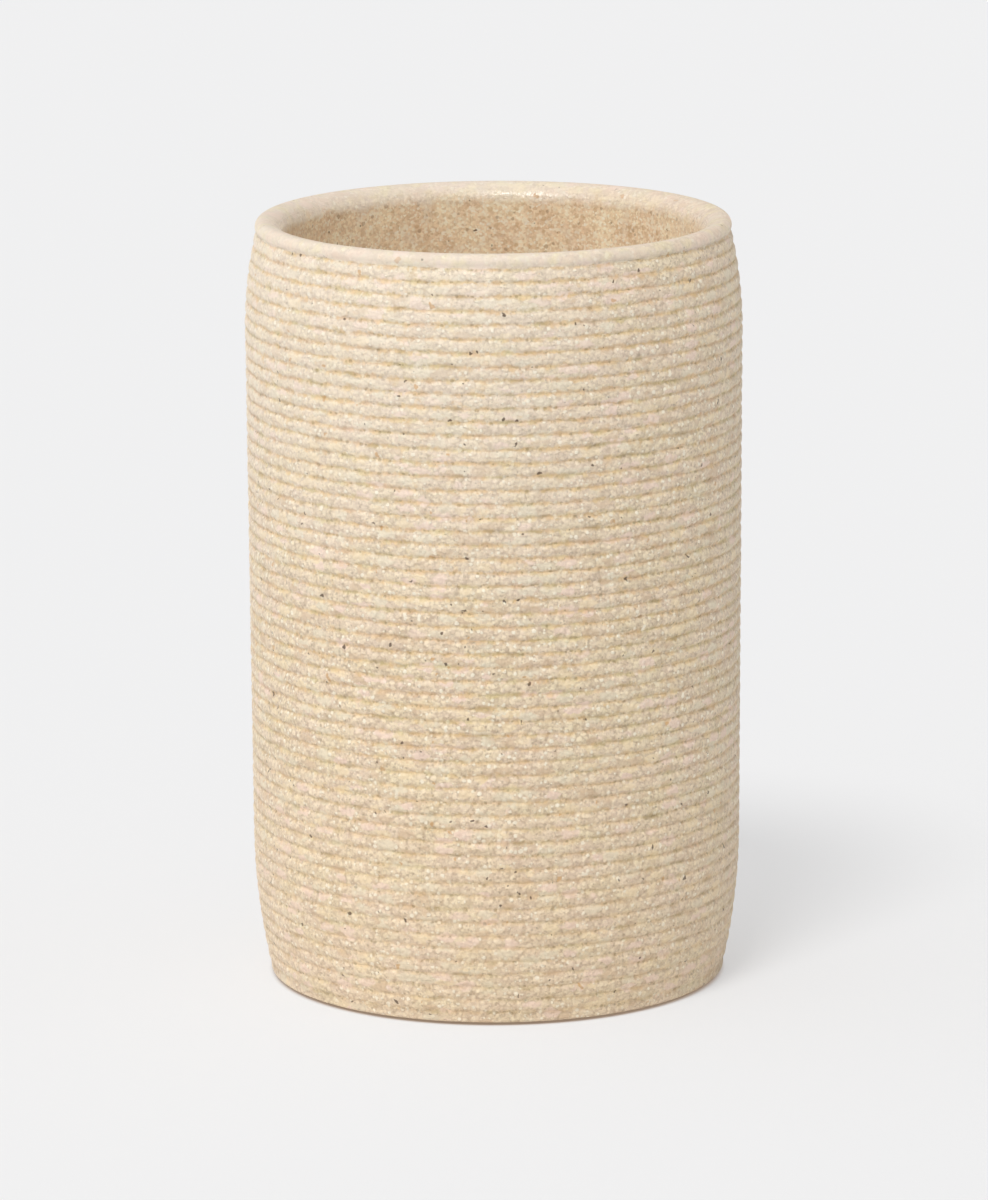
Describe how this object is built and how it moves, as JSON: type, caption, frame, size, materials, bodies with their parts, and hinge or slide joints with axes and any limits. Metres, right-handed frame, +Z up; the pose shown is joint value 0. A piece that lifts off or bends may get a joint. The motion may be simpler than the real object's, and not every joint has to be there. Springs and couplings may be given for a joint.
{
  "type": "bathroom tumbler",
  "caption": "Round ribbed tumbler in sandstone-effect cast resin, with a rounded lip, standing on an anti-slip pad; holds toothbrushes or water.",
  "frame": {"origin": "middle of the pad's underside, on the surface that the tumbler stands on", "axes": "+Z up along the tumbler's axis, out of its mouth; the tumbler is round, so X and Y are free"},
  "size_m": [0.0736, 0.0736, 0.114],
  "materials": {
    "cast_stone_resin": "matte, speckled, slightly satin on the lip",
    "adhesive_film": "matte",
    "anti_slip_pad": "matte"
  },
  "bodies": {
    "root": {"tumbler_body": "cast_stone_resin", "pad_adhesive": "adhesive_film", "base_pad": "anti_slip_pad"}
  },
  "joints": []
}
